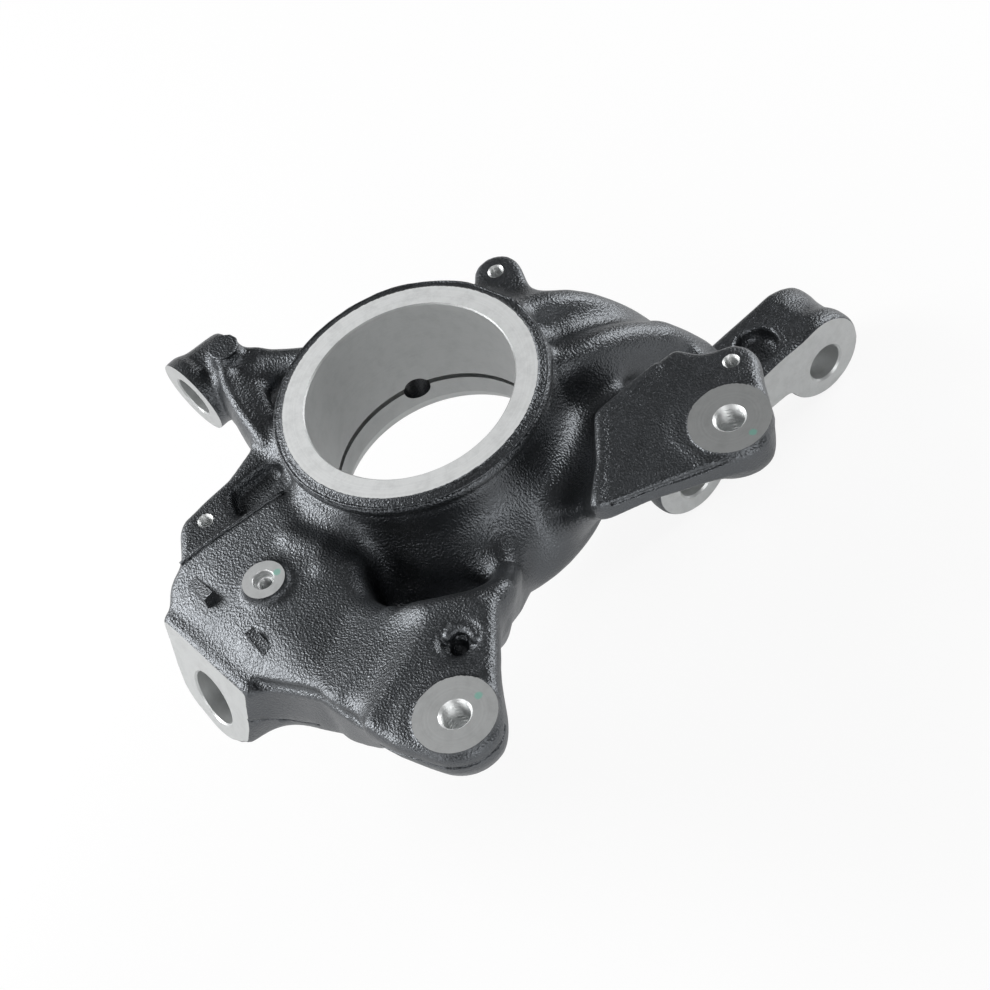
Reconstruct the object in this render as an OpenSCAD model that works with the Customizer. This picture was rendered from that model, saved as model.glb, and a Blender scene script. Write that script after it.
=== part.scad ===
// Front steering knuckle, one iron casting with machined faces and bores.
// Frame: origin at the centre of the machined hub face, +Z along the bearing
// axis and outboard, +X up the vehicle, +Y toward the tie-rod arm.

/* [Part] */
// which sub-part to make

/* [Bearing seat] */
// outer radius of the bright machined hub face
hub_face_r = 48.5; // [40:0.1:60]
// inner radius of the retaining lip at the hub face
lip_r = 40.15; // [30:0.05:46]
// depth of the retaining lip along the bore
lip_t = 3.5; // [1:0.1:8]
// radius of the bearing bore
bore_r = 42; // [30:0.05:50]
// length of the hub along the bearing axis
hub_len = 61; // [40:0.5:90]
// distance of the snap ring groove below the hub face
groove_z = 44.3; // [30:0.1:60]
// width of the snap ring groove
groove_w = 2.4; // [1:0.1:4]
// depth of the snap ring groove in the bore wall
groove_d = 2.2; // [0.5:0.1:4]
// length of the lead-in chamfer at the inboard end
leadin_len = 5.5; // [0.5:0.1:10]
// how much the lead-in chamfer opens the bore
leadin_w = 2.4; // [0.5:0.1:5]
// radius of the sensor port through the bore wall
port_r = 5.3; // [2:0.1:8]
// bearing angle of the sensor port about the bore
port_az = 66; // [0:1:359]
// distance of the port axis below the hub face
port_z = 46.8; // [20:0.1:58]

/* [Hub body] */
// radius of the cast rim beside the machined face
rim_r = 52.5; // [48:0.1:60]
// height of the cast rim bead
rim_h = 5.2; // [2:0.1:12]
// drop of the cast rim below the machined face
rim_drop = 0.8; // [0:0.1:3]
// radius of the neck below the rim bead
neck_r = 51; // [46:0.1:60]
// radius of the hub body at its inboard end
hub_end_r = 57.5; // [50:0.1:70]

/* [Caliper lugs] */
// upper caliper lug position
cal_up = [63.2, -106]; // [-150:0.1:150]
// lower caliper lug position
cal_low = [-79, -121]; // [-150:0.1:150]
// height of both caliper faces above the hub face
cal_z = 0; // [-20:0.1:10]
// radius of the machined caliper faces
cal_face_r = 15.2; // [10:0.1:25]
// radius of the caliper bolt holes
cal_hole_r = 6; // [3:0.05:10]
// thickness of the caliper lugs
cal_t = 16.8; // [8:0.5:40]
// radius of the cast lug back
cal_back_r = 15; // [10:0.1:25]
// thickness of the lug plates
plate_t = 9.5; // [4:0.1:20]
// step from the lug plate up to the machined caliper face
face_step = 1.4; // [0:0.1:5]
// cast margin round a caliper face
plate_margin = 1.9; // [0:0.1:8]

/* [Strut tongue] */
// height of the strut bolt line up the vehicle, lower then upper bolt
strut_x = [73.6, 144.9]; // [40:0.1:200]
// distance of the strut lug centres inboard of the hub face
strut_z = 95.7; // [40:0.1:150]
// drop of the strut bolt holes from the lug centres
strut_hole_drop = 3.3; // [0:0.1:6]
// position of the machined strut face along Y
strut_face_y = -45.2; // [-80:0.1:0]
// thickness of the strut tongue between its two faces
strut_t = 29; // [15:0.1:50]
// radius of the strut bolt holes
strut_hole_r = 7.7; // [4:0.05:12]
// radius of the strut lug ends
strut_lug_r = 18.5; // [10:0.1:30]
// radius of the lug waist between its two flanges
strut_waist_r = 16.6; // [8:0.1:30]
// thickness of each flange of the strut lugs
strut_flange = 7.5; // [3:0.1:15]
// depth of the bar between the strut lugs
tongue_h = 20; // [8:0.1:40]
// radius of the cast dimple on the tongue
dimple_r = 9.5; // [3:0.1:12]
// depth of the cast dimple
dimple_d = 6; // [1:0.1:15]
// position of the dimple, up the vehicle and across
dimple_at = [125.5, -31.5]; // [-50:0.1:150]

/* [Arched ribs] */
// half width of each arched rib
arch_a = 7.6; // [3:0.1:15]
// half depth of each arched rib
arch_b = 11; // [4:0.1:20]
// where the ribs leave the hub, up the vehicle
arch_x0 = 46; // [30:0.5:60]
// reach of the front and back rib up the vehicle
arch_lx = [53, 44.5]; // [30:0.5:80]
// depth of the front and back rib centre at the hub
arch_z0 = [17, 12.8]; // [8:0.5:40]
// drop of the ribs toward the strut tongue
arch_lz = 68; // [30:0.5:90]
// position of the front rib across, at the hub and at the tongue
arch_front_y = [-29, -37.4]; // [-60:0.1:20]
// position of the back rib across, at the hub and at the tongue
arch_back_y = [1, -23]; // [-60:0.1:20]

/* [Ball joint] */
// centre of the ball joint face
ball_c = [-124.4, -12.6, -44]; // [-150:0.1:50]
// lean of the ball joint axis toward outboard
ball_lean = 14.4; // [0:0.1:30]
// radius of the ball joint bore
ball_r = 11.1; // [5:0.05:20]
// radius of the block end round the ball joint bore
ball_end_r = 19; // [12:0.1:30]
// length of the ball joint bore
ball_len = 30; // [15:0.5:60]
// radius of the spot face at the inner end of the ball joint bore
ball_seat_r = 15.5; // [12:0.1:25]
// depth of the spot face at the inner end of the ball joint bore
ball_seat_d = 14; // [4:0.5:25]
// wall left above the hollow under the lower block
hollow_wall = 11; // [5:0.1:25]

/* [Tie rod] */
// centre of the tie-rod face
tie_c = [-47.3, 93.6, -28]; // [-150:0.1:150]
// yaw of the tie-rod axis about the bearing axis
tie_yaw = 2.1; // [0:0.1:10]
// radius of the machined tie-rod face
tie_face_r = 16.1; // [8:0.1:25]
// radius of the tie-rod hole
tie_r = 8.6; // [4:0.05:14]
// length of the tie-rod boss
tie_len = 25; // [10:0.5:50]
// thickness of the collar behind the machined tie-rod face
tie_collar_t = 5.5; // [2:0.1:15]
// step from the tie-rod collar down to its boss
tie_step = 3.2; // [0:0.1:8]
// centre of the cast pin beside the tie-rod boss
pin_c = [-29.5, 85]; // [-150:0.1:150]
// radius of the cast pin
pin_r = 6.1; // [3:0.1:10]
// depth of the pin top below the hub face
pin_z = 8; // [0:0.1:30]
// length of the cast pin
pin_len = 14; // [5:0.5:25]

/* [Core marks] */
// centre of the round cast recess on the lower lug plate
mark_at = [-59.2, -97]; // [-150:0.1:150]
// radius of the round cast recess
mark_r = 6.2; // [3:0.1:12]
// depth of the round cast recess
mark_d = 4; // [1:0.1:8]

/* [Small fixings] */
// radius of the small tapped holes
tap_r = 2.9; // [1:0.05:5]
// depth of the small tapped holes
tap_len = 12; // [4:0.5:30]
// shield hole on the upper plate
ear_hole = [81.6, -87]; // [-150:0.1:150]
// shield hole on the top tab
tab_hole = [60.2, 23.2]; // [-150:0.1:150]
// height of the top tab
tab_z = -8; // [-40:0.1:5]
// radius of the tab end
tab_r = 9.2; // [5:0.1:20]
// shield hole on the lower plate
low_hole = [-82.5, 32.2]; // [-150:0.1:150]
// height of the lower shield plate
low_z = -18; // [-40:0.1:5]
// thickness of the lower shield plate
low_t = 9; // [4:0.1:20]
// centre of the small sensor boss
sens_c = [-86, -13.4]; // [-150:0.1:150]
// height of the small sensor boss
sens_z = -11; // [-40:0.1:5]
// radius of the small sensor boss
sens_r = 8.1; // [4:0.1:15]
// radius of the counterbore in the sensor boss
sens_cb_r = 3.7; // [2:0.05:8]
// depth of the counterbore
sens_cb_d = 3.5; // [1:0.1:10]
// cast pocket in the lower shield plate, its outline
pocket = [[-74, 22.5], [-68.5, 35.5], [-50, 35], [-47, 27]]; // [-150:0.1:150]
// depth of the cast pocket
pocket_d = 6; // [2:0.1:8]

/* [Hidden] */
$fa = 6;
$fs = 1.2;
iron = [0.16, 0.17, 0.18];
// small overlap between a cut and the face it starts from
e = 0.6;
// how far a cutter runs past the part
past = 40;
bore_fa = 3;
round_steps = 3;
flow_steps = 3;
plate_z = cal_z - face_step;
hollow_top = -14 - hollow_wall;
strut_cut = [strut_x[1] - strut_x[0] + 2 * past, past, 3 * strut_lug_r];
ball_n = [-cos(ball_lean), 0, sin(ball_lean)];
tongue_y = strut_face_y + strut_t / 2;
tongue_top = -strut_z + strut_lug_r - 0.8;

// blended body: every arm and web is a skin through computed sections
function sgn_pow(v, p) = sign(v) * pow(abs(v), p);
function oval(c, u, v, a, b, p, n) = [for (i = [0:n - 1])
    let (t = 360 * i / n + 180 / n)
    c + u * a * sgn_pow(cos(t), 2 / p) + v * b * sgn_pow(sin(t), 2 / p)];

module skin(rings) {
    n = len(rings[0]);
    m = len(rings);
    pts = [for (r = rings) each r];
    // the order of the points decides which way the faces look
    ahead = cross(rings[0][1] - rings[0][0], rings[0][2] - rings[0][1]) * (rings[1][0] - rings[0][0]) > 0;
    q = ahead ? 1 : n - 1;
    polyhedron(points = pts, faces = concat(
        [[for (i = [0:n - 1]) (i * q) % n]],
        [[for (i = [0:n - 1]) (m - 1) * n + ((n - i) * q) % n]],
        [for (k = [0:m - 2], i = [0:n - 1]) [k * n + i, (k + 1) * n + i, k * n + (i + q) % n]],
        [for (k = [0:m - 2], i = [0:n - 1])
            [k * n + (i + q) % n, (k + 1) * n + i, (k + 1) * n + (i + q) % n]]),
        convexity = 6);
}

// a closed section with each corner rounded over its own reach
function rounded(p, reach) = let (m = len(p)) [for (i = [0:m - 1], k = [0:round_steps])
    let (a = p[(i + m - 1) % m], q = p[i], c = p[(i + 1) % m], t = k / round_steps,
        u = q + (a - q) * min(0.46, reach[i] / norm(a - q)),
        v = q + (c - q) * min(0.46, reach[i] / norm(c - q)))
    u * (1 - t) * (1 - t) + q * 2 * t * (1 - t) + v * t * t];
// more sections along a smooth curve through the given ones
function flow(r) = let (m = len(r) - 1, k = flow_steps) concat([for (i = [0:m - 1], s = [0:k - 1])
    let (t = s / k, a = r[max(i - 1, 0)], b = r[i], c = r[i + 1], d = r[min(i + 2, m)])
    (2 * b + (c - a) * t + (2 * a - 5 * b + 4 * c - d) * t * t + (3 * (b - c) - a + d) * t * t * t) / 2],
    [r[m]]);
// section across X: two sides in y, each with its top and bottom height, then the reach of the
// rounding at the top and what the bottom has more
function slab_x(x, y0, t0, b0, y1, t1, b1, c, d = 0) =
    rounded([[x, y0, t0], [x, y0, b0], [x, y1, b1], [x, y1, t1]], [c, c + d, c + d, c]);
// section across Y: two sides in x, each with its top and bottom height, then the reach
function slab_y(y, x0, t0, b0, x1, t1, b1, c) =
    rounded([[x0, y, t0], [x1, y, t1], [x1, y, b1], [x0, y, b0]], [c, c, c, c]);

function arch_c(s, ys, lx, z0) = [arch_x0 + lx * sin(s), ys[0] + (ys[1] - ys[0]) * s / 90,
    -z0 - arch_lz * (1 - cos(s))];
function arch_n(s, lx) = let (tx = lx * cos(s), tz = arch_lz * sin(s), l = sqrt(tx * tx + tz * tz))
    [tz / l, 0, tx / l];
function arch_ring(s, ys, lx, z0, a, b, off) = oval(arch_c(s, ys, lx, z0) + arch_n(s, lx) * off,
    [0, 1, 0], arch_n(s, lx), a, b, 2.8, 20);

module hub_body() {
    rotate_extrude() polygon([[0, 0], [hub_face_r, 0], [hub_face_r + 0.6, -rim_drop],
        [rim_r - 1.2, -rim_drop], [rim_r, -rim_drop - 1.2], [rim_r, -rim_h], [rim_r - 0.8, -rim_h - 1.3],
        [neck_r, -rim_h - 2], [neck_r + 0.5, -14], [neck_r + 2.5, -28], [hub_end_r - 1, -46],
        [hub_end_r, -54], [hub_end_r - 2.5, -hub_len + 2.5], [hub_end_r - 7, -hub_len + 1.5],
        [hub_end_r - 7, -hub_len], [0, -hub_len]]);
}

// the neck flares toward the caliper side and the bottom of the hub
module hub_flare() {
    skin([for (q = [[-8, 0, 49.5], [-14, -0.7, 50], [-20, -2, 51.2], [-27, -4, 53], [-34, -6.5, 55],
            [-41, -8.8, 56.6], [-48, -10.5, 57.5], [-53, -10.3, 57.2], [-57, -9.3, 56], [-60, -8, 53.5]])
        oval([0, q[1], q[0]], [1, 0, 0], [0, 1, 0], q[2], q[2], 2, 48)]);
}

module arches() {
    steps = [0:9:90];
    ys = [arch_front_y, arch_back_y];
    for (k = [0, 1]) skin([for (s = steps) arch_ring(s, ys[k], arch_lx[k], arch_z0[k], arch_a, arch_b, 0)]);
    // web between the two ribs
    mid = (arch_front_y + arch_back_y) / 2;
    skin([for (s = steps) arch_ring(s, mid, (arch_lx[0] + arch_lx[1]) / 2, (arch_z0[0] + arch_z0[1]) / 2,
        (arch_back_y[0] - arch_front_y[0]) / 2 - s / 14, arch_b * 0.62, -arch_b * 0.32)]);
}

module strut_lug(x) {
    translate([x, strut_face_y, -strut_z]) rotate([-90, 0, 0]) {
        cylinder(r = strut_lug_r, h = strut_flange);
        cylinder(r = strut_waist_r, h = strut_t - 1);
        translate([0, 0, strut_t - strut_flange]) cylinder(r = strut_lug_r - 1.2, h = strut_flange);
    }
}

module tongue() {
    for (x = strut_x) strut_lug(x);
    xa = strut_x[0] - 4;
    xb = strut_x[1] + 2;
    y0 = strut_face_y;
    y1 = strut_face_y + strut_t;
    skin([slab_x(xa, y0, tongue_top, tongue_top - tongue_h, y1, tongue_top, tongue_top - tongue_h, 2),
        slab_x(xb, y0, tongue_top, tongue_top - tongue_h, y1, tongue_top, tongue_top - tongue_h, 2)]);
    // recessed web under the bar
    skin([slab_x(xa, y0 + 8, tongue_top - 8, -strut_z - 11, y1 - 8, tongue_top - 8, -strut_z - 11, 2),
        slab_x(xb, y0 + 8, tongue_top - 8, -strut_z - 11, y1 - 8, tongue_top - 8, -strut_z - 11, 2)]);
    // root from the hub wall down to the lower strut lug
    skin(flow([oval([44, -22, -44], [0, 1, 0], [0, 0, 1], 17, 15, 3, 16),
        oval([58, -25, -52], [0, 1, 0], [0.35, 0, 0.94], 15, 15, 3, 16),
        oval([70, -29, -68], [0, 1, 0], [0.7, 0, 0.7], 13, 13, 3, 16),
        oval([76, -30, -88], [0, 1, 0], [0.97, 0, 0.2], 12, 12, 3, 16)]));
}

// places its child on the ball joint face, +Z along the outgoing axis
module at_ball() {
    translate(ball_c) rotate([0, -90 + ball_lean, 0]) children();
}

// places its child on the tie-rod face, +Z into the boss
module at_tie() {
    translate(tie_c) rotate([0, 0, tie_yaw]) rotate([0, 90, 0]) children();
}

module ball_block() {
    intersection() {
        skin(flow([slab_x(-36, -22, -26, -52, 16, -12, -57, 5),
            slab_x(-52, -28, -19, -50, 15.5, -12.5, -57, 5),
            slab_x(-61, -42, -15.5, -46, 15.5, -11.2, -57, 5),
            slab_x(-72, -60, -14.5, -43, 18.5, -12.6, -57, 5),
            slab_x(-84, -68, -14, -42, 22.5, -14.6, -57, 5),
            slab_x(-95, -74, -13, -42, 25.5, -17, -57, 4),
            slab_x(-103, -65, -14.5, -45, 25, -19, -59, 4, 4),
            slab_x(-110, -47, -19, -53, 22, -21, -61, 4, 12),
            slab_x(-119, -38, -22.5, -58, 13, -24, -61, 4, 17),
            slab_x(-134, -35, -27.5, -59, 11, -27, -64, 4, 21)]));
        // everything beyond the machined ball joint face is cut away
        at_ball() translate([-4 * past, -4 * past, -4 * past]) cube([8 * past, 8 * past, 4 * past]);
    }
    at_ball() translate([0, 0, -ball_len]) cylinder(r = ball_end_r, h = ball_len);
}

// outline of a lug plate: corner points, then the round end about the lug
function arc(c, r, a0, a1, n) = [for (i = [0:n]) let (a = a0 + (a1 - a0) * i / n) c + r * [cos(a), sin(a)]];

module low_lug() {
    r = cal_face_r + plate_margin;
    translate([0, 0, plate_z - plate_t]) linear_extrude(plate_t)
        polygon(concat(arc(cal_low, r, -150, -20, 9),
            [[-57, -116], [-46.5, -103.5], [-38, -98], [-27, -96.5], [-28, -93], [-38, -93],
                [-54.5, -83], [-65, -78], [-79.5, -84], [-88, -88.5], [-103, -96], [-100.5, -113]]));
    // sheet that carries the plate's top over to the lower block
    skin(flow([slab_y(-114, -94, plate_z - 0.4, plate_z - plate_t, -60, plate_z - 1, plate_z - plate_t, 2),
        slab_y(-103, -99.5, plate_z - 1, -17, -52, plate_z - 1, -16, 2),
        slab_y(-93, -101, plate_z - 2.8, -26, -50, plate_z - 1, -26, 3),
        slab_y(-82, -102, plate_z - 5.6, -34, -54, plate_z - 1.2, -40, 3),
        slab_y(-70, -103, plate_z - 9, -41, -60, plate_z - 4.5, -47, 3),
        slab_y(-57, -101, -14.4, -45, -62, -11, -51, 3),
        slab_y(-44, -100, -17, -46, -64, -14.5, -52, 3),
        slab_y(-30, -98, -21, -46, -66, -19, -52, 3)]));
    // floor of the deep basin between the plate, the lower block and the neck
    skin(flow([slab_y(-104, -88, -7, -17, -56, -7, -17, 3),
        slab_y(-95, -90, -9, -26, -46, -9, -24, 3),
        slab_y(-86, -88, -24, -38, -40, -24, -38, 4),
        slab_y(-77, -84, -37, -48, -33, -37, -50, 5),
        slab_y(-62, -74, -43, -54, -22, -43, -58, 6),
        slab_y(-40, -50, -45, -57, -12, -45, -60, 6)]));
    // rib on the basin's open side, from the plate's corner up to the neck
    skin(flow([slab_y(-103, -62, plate_z - 3, -16, -50, plate_z - 3, -15, 3),
        slab_y(-93, -50, plate_z - 4, -26, -35, plate_z - 3, -24, 4),
        slab_y(-85, -43, -12, -34, -29, -11, -33, 4),
        slab_y(-75, -36, -23, -44, -21, -22, -45, 5),
        slab_y(-62, -26, -28, -50, -10, -28, -56, 5),
        slab_y(-40, -18, -28, -54, -2, -30, -59, 5)]));
}

module up_lug() {
    r = cal_face_r + plate_margin;
    translate([0, 0, plate_z - plate_t]) linear_extrude(plate_t)
        polygon(concat(arc(cal_up, r, -125, -20, 8),
            [[84.5, -101], [90, -92], [91, -86], [88.5, -81], [84, -78.6], [78, -75], [75.5, -69],
                [74, -64.5], [36, -63], [22, -80], [6, -92.5], [11, -97], [26, -103.5]]));
    // gusset from the plate back to the hub
    skin(flow([slab_y(-98, 19, plate_z - 3, -11.4, 50, plate_z - 3, -12, 3),
        slab_y(-90, 10, plate_z - 5, -17, 56, plate_z - 3, -18, 3),
        slab_y(-79, 10, -18, -31, 60, -7, -27, 4),
        slab_y(-65, 5, -28, -50, 64, -13, -38, 5),
        slab_y(-50, 0, -32, -57, 62, -22, -48, 6),
        slab_y(-38, -4, -32, -58, 56, -28, -54, 6)]));
}

module cal_lug(c) {
    translate([c[0], c[1], cal_z - cal_t]) cylinder(r = cal_back_r, h = cal_t - face_step - 1);
    translate([c[0], c[1], cal_z - cal_t + 4]) cylinder(r = cal_face_r, h = cal_t - 4);
}

module shield_plate() {
    translate([0, 0, low_z - low_t]) linear_extrude(low_t)
        polygon([[-103, 15], [-100.5, 25], [-92.5, 37], [-89, 39.6], [-82.5, 40.6], [-64.5, 41.4],
            [-51, 45.5], [-38, 46], [-38, 12]]);
    skin(flow([slab_x(-76, 10, low_z - 4, low_z - 16, 27, low_z - 4, low_z - 11, 3),
        slab_x(-62, 10, low_z - 4, low_z - 24, 38, low_z - 4, low_z - 14, 3),
        slab_x(-40, 10, low_z - 4, low_z - 30, 44, low_z - 4, low_z - 20, 3)]));
}

module top_tab() {
    translate([0, 0, tab_z - plate_t + 1]) linear_extrude(plate_t - 1)
        polygon(concat(arc(tab_hole, tab_r, -18, 128, 9), [[49, 24], [42, 18], [44, 4], [60, -2], [66, 10]]));
    skin(flow([oval([44, 14, -28], [0.36, -0.93, 0], [0, 0, 1], 7, 12, 3, 16),
        oval([54, 17, -21], [0.36, -0.93, 0], [0, 0, 1], 6, 8, 3, 16),
        oval([57, 16.5, -14], [0.36, -0.93, 0], [0, 0, 1], 4, 3, 3, 16)]));
}

module tie_arm() {
    // branch beside the shield plate
    skin(flow([oval([-40, 26, -32], [1, 0, 0], [0, 0, 1], 10, 17, 3, 16),
        oval([-42.5, 42, -30], [1, 0.05, 0], [0, 0, 1], 7, 15, 3, 16),
        oval([-41.5, 58, -28], [1, 0.1, 0], [0, 0, 1], 6.2, 14, 3, 16),
        oval([-37, 74, -27.5], [1, 0.2, 0], [0, 0, 1], 6.4, 14.5, 3, 16),
        oval([-32, 88, -28], [1, 0.2, 0], [0, 0, 1], 7, 15, 3, 16),
        oval([-31, 97, -28], [1, 0.2, 0], [0, 0, 1], 5.5, 13, 3, 16)]));
    // branch that leaves the hub beside the bore
    skin(flow([oval([-2, 42, -30], [1, 0.3, 0], [0, 0, 1], 12, 16, 3, 16),
        oval([-6, 55, -27], [0.9, 0.45, 0], [0, 0, 1], 8, 14.5, 3, 16),
        oval([-15, 67, -26], [0.7, 0.7, 0], [0, 0, 1], 6.2, 13.5, 3, 16),
        oval([-23, 77, -26.5], [0.7, 0.7, 0], [0, 0, 1], 6.4, 14, 3, 16),
        oval([-31, 86, -28], [0.7, 0.7, 0], [0, 0, 1], 7, 15, 3, 16)]));
    at_tie() {
        cylinder(r = tie_face_r, h = tie_collar_t);
        cylinder(r = tie_face_r - tie_step, h = tie_len);
    }
    translate([pin_c[0], pin_c[1], -pin_z - pin_len]) cylinder(r = pin_r, h = pin_len);
}

module wedge_rib(x, y) {
    skin([[[x - 3, y + 7, -19], [x + 3, y + 7, -19], [x + 3, y + 7, -17.6], [x - 3, y + 7, -17.6]],
        [[x - 3, y - 5, -21], [x + 3, y - 5, -21], [x + 3, y - 5, -12.8], [x - 3, y - 5, -12.8]]]);
}

module bores() {
    translate([0, 0, -hub_len - past]) cylinder(r = lip_r, h = hub_len + 2 * past, $fa = bore_fa);
    translate([0, 0, -hub_len - past]) cylinder(r = bore_r, h = hub_len + past - lip_t, $fa = bore_fa);
    translate([0, 0, -groove_z - groove_w]) cylinder(r = bore_r + groove_d, h = groove_w, $fa = bore_fa);
    translate([0, 0, -hub_len - e]) cylinder(r1 = bore_r + leadin_w * (1 + e / leadin_len), r2 = bore_r,
        h = leadin_len + e, $fa = bore_fa);
    rotate([0, 0, port_az]) translate([bore_r / 2, 0, -port_z]) rotate([0, 90, 0])
        cylinder(r = port_r, h = hub_end_r - bore_r / 2 + 2 * port_r);
    for (c = [cal_up, cal_low]) translate([c[0], c[1], cal_z - cal_t - past])
        cylinder(r = cal_hole_r, h = cal_t + 2 * past);
    for (x = strut_x) translate([x, strut_face_y - past, -strut_z - strut_hole_drop]) rotate([-90, 0, 0])
        cylinder(r = strut_hole_r, h = strut_t + 2 * past);
    at_ball() {
        translate([0, 0, -ball_len - e]) cylinder(r = ball_r, h = ball_len + past);
        translate([0, 0, -ball_len - ball_seat_d]) cylinder(r = ball_seat_r, h = ball_seat_d);
    }
    at_tie() translate([0, 0, -past]) cylinder(r = tie_r, h = tie_len + 2 * past);
    for (q = [[ear_hole, plate_z], [tab_hole, tab_z], [low_hole, low_z]])
        translate([q[0][0], q[0][1], q[1] - tap_len]) cylinder(r = tap_r, h = tap_len + past);
    translate([sens_c[0], sens_c[1], sens_z - sens_cb_d]) {
        translate([0, 0, -tap_len]) cylinder(r = tap_r, h = tap_len + e);
        cylinder(r = sens_cb_r, h = sens_cb_d + past);
    }
}

module knuckle_casting() {
    color(iron) difference() {
        union() {
            hub_body();
            hub_flare();
            arches();
            tongue();
            ball_block();
            low_lug();
            up_lug();
            cal_lug(cal_up);
            cal_lug(cal_low);
            shield_plate();
            top_tab();
            tie_arm();
            translate([sens_c[0], sens_c[1], -24]) cylinder(r = sens_r, h = sens_z + 24);
            wedge_rib(-103, 3);
            wedge_rib(-103, -28);
        }
        bores();
        // hollow under the lower block, behind the ball joint bore
        skin([slab_x(-94, -27, -34, -90, 5, -34, -90, 3),
            slab_x(-84, -42, hollow_top, -90, 12, hollow_top, -90, 3),
            slab_x(-62, -34, hollow_top, -90, 6, hollow_top, -90, 3)]);
        translate([0, 0, low_z - pocket_d]) linear_extrude(past) polygon(pocket);
        // round core marks: tongue dimple and the one on the lower lug plate
        translate([dimple_at[0], dimple_at[1], tongue_top - dimple_d])
            cylinder(r1 = dimple_r - 3.5, r2 = dimple_r + 0.35, h = dimple_d + e);
        translate([mark_at[0], mark_at[1], plate_z - mark_d]) cylinder(r = mark_r, h = mark_d + past);
        // machined strut face
        translate([strut_x[0] - past, strut_face_y - past, -strut_z - 2 * strut_lug_r]) cube(strut_cut);
    }
}

knuckle_casting();
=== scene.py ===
import math

import bpy
import numpy as np
import openvdb
from mathutils import Matrix, Vector


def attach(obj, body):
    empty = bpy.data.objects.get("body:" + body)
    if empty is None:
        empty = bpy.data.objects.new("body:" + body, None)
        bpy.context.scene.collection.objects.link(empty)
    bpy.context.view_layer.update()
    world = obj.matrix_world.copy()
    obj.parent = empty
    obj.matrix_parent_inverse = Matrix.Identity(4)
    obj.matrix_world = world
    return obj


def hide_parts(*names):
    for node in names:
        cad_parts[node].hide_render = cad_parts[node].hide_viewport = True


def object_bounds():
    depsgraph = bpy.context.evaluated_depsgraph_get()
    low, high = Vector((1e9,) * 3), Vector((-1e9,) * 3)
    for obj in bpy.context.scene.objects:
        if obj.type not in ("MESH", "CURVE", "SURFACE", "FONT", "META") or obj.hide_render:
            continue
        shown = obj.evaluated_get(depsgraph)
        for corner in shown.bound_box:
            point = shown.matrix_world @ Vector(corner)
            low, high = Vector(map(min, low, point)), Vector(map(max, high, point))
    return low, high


# A front steering knuckle: one iron casting, black coated, with turned, milled and drilled
# places. The casting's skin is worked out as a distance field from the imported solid, so that
# its forms run into each other with foundry fillets. The machined places are cut afterwards.
# Lengths here are millimetres in the frame's axes; a mesh is scaled to metres when it is made.

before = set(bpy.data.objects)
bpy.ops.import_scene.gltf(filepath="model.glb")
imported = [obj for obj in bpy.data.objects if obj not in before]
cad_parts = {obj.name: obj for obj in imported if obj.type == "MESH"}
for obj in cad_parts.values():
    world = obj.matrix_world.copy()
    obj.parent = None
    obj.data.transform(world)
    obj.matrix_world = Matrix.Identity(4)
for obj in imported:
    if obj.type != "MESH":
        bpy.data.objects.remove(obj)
cad_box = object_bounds()
scene = bpy.context.scene
MM = 0.001

# The dimensions of the machined places, as the part's source has them.
# hub: its turned face and cast rim, the retaining lip, the bearing bore, the snap ring groove,
# the lead-in at the inboard end and the drilled sensor port
hub_face_r, rim_r, rim_drop, rim_h = 48.5, 52.5, 0.8, 5.2
lip_r, lip_t, bore_r, hub_len = 40.15, 3.5, 42.0, 61.0
groove_z, groove_w, groove_d = 44.3, 2.4, 2.2
leadin_len, leadin_w = 5.5, 2.4
port_r, port_az, port_z = 5.3, math.radians(66), 46.8
# caliper lugs: centres, milled faces, holes, thickness, and the cast plates beside them
cal_up, cal_low = (63.2, -106.0), (-79.0, -121.0)
cal_face_r, cal_hole_r, cal_t, plate_z, plate_t = 15.2, 6.0, 16.8, -1.4, 9.5
# strut lugs: the two bolt holes, how far they lie below strut_z, and the milled front
strut_x, strut_z, strut_hole_drop = (73.6, 144.9), 95.7, 3.3
strut_face_y, strut_t, strut_hole_r = -45.2, 29.0, 7.7
# ball joint bore, which leans, with the spot face at its inner end
ball_c, ball_lean, ball_r, ball_len = (-124.4, -12.6, -44.0), math.radians(14.4), 11.1, 30.0
ball_seat_r, ball_seat_d = 15.5, 14.0
# tie-rod arm: its faced boss and the cast pin on it
tie_c, tie_yaw, tie_r, tie_len = (-47.3, 93.6, -28.0), math.radians(2.1), 8.6, 25.0
pin_c, pin_r, pin_z = (-29.5, 85.0), 6.1, 8.0
# the dimple on the strut tongue
dimple_at, dimple_r, tongue_top = (125.5, -31.5), 9.5, -78.0
# M6 holes in the upper lug's ear, the top tab and the shield plate
tap_r, tap_len = 2.9, 12.0
ear_hole, tab_hole, low_hole = (81.6, -87.0), (60.2, 23.2), (-82.5, 32.2)
tab_z, low_z, low_t = -8.0, -18.0, 9.0
# sensor boss with its counterbored M6 hole
sens_c, sens_z, sens_r, sens_cb_r, sens_cb_d = (-86.0, -13.4), -11.0, 8.1, 4.0, 2.4
# chamfer of the M12 holes, and threads as minor radius, major radius and pitch
CHAMFER = 0.8
M6, M12 = (2.45, 3.05, 1.0), (5.2, 6.1, 1.75)

UP = np.array([0.0, 0.0, 1.0])
ACROSS = np.array([0.0, 1.0, 0.0])
ball_n = np.array([-math.cos(ball_lean), 0.0, math.sin(ball_lean)])
tie_n = np.array([-math.cos(tie_yaw), -math.sin(tie_yaw), 0.0])
port_n = np.array([math.cos(port_az), math.sin(port_az), 0.0])
strut_c = (sum(strut_x) / 2 + 1.75, strut_face_y, -strut_z)

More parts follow.
